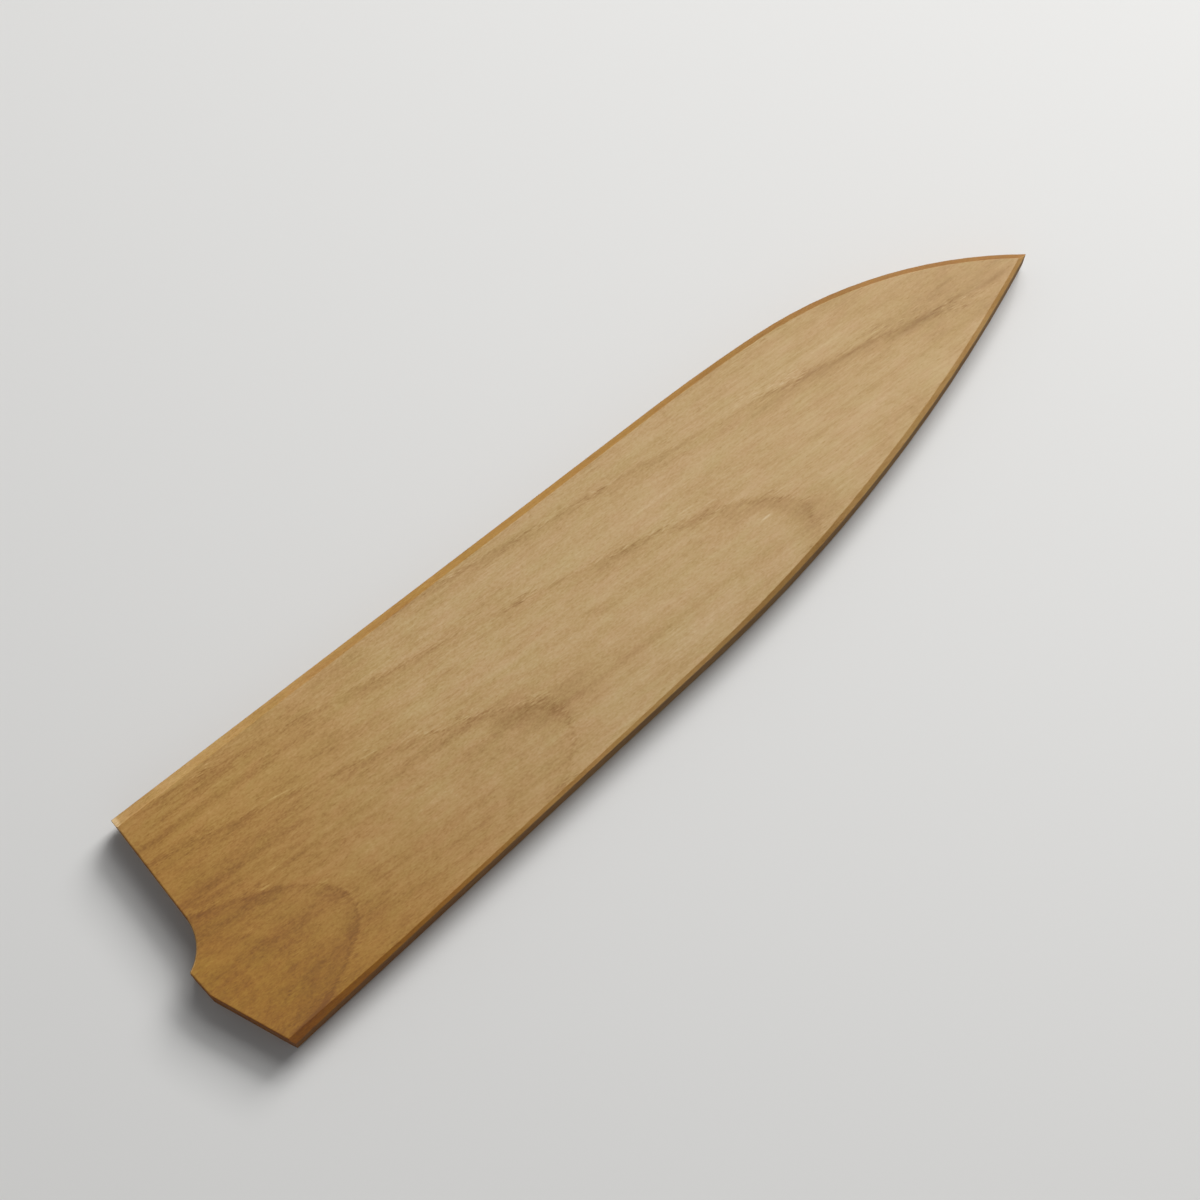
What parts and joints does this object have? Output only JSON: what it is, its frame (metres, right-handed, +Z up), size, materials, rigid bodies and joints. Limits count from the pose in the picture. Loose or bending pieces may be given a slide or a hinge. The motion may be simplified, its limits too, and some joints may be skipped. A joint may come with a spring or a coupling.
{
  "type": "knife blade guard",
  "caption": "Flat wooden blade guard for a chef's knife, with a slot between glued boards, a notched mouth that covers the blade's heel and a pointed nose; slides over the blade.",
  "frame": {"origin": "middle of the bounding box's bottom face, on the surface that the guard lies on", "axes": "+X along the guard from its mouth to its nose, +Y from the cutting-edge side to the spine side, +Z up from the back board to the front board"},
  "size_m": [0.23, 0.06, 0.01],
  "materials": {
    "board_wood": "satin",
    "strip_wood": "satin",
    "magnet_nickel": "satin"
  },
  "bodies": {
    "root": {"front_board": "board_wood", "back_board": "board_wood", "spine_strip": "strip_wood", "edge_strip": "strip_wood", "magnet_heel": "magnet_nickel", "magnet_middle": "magnet_nickel", "magnet_tip": "magnet_nickel"}
  },
  "joints": []
}
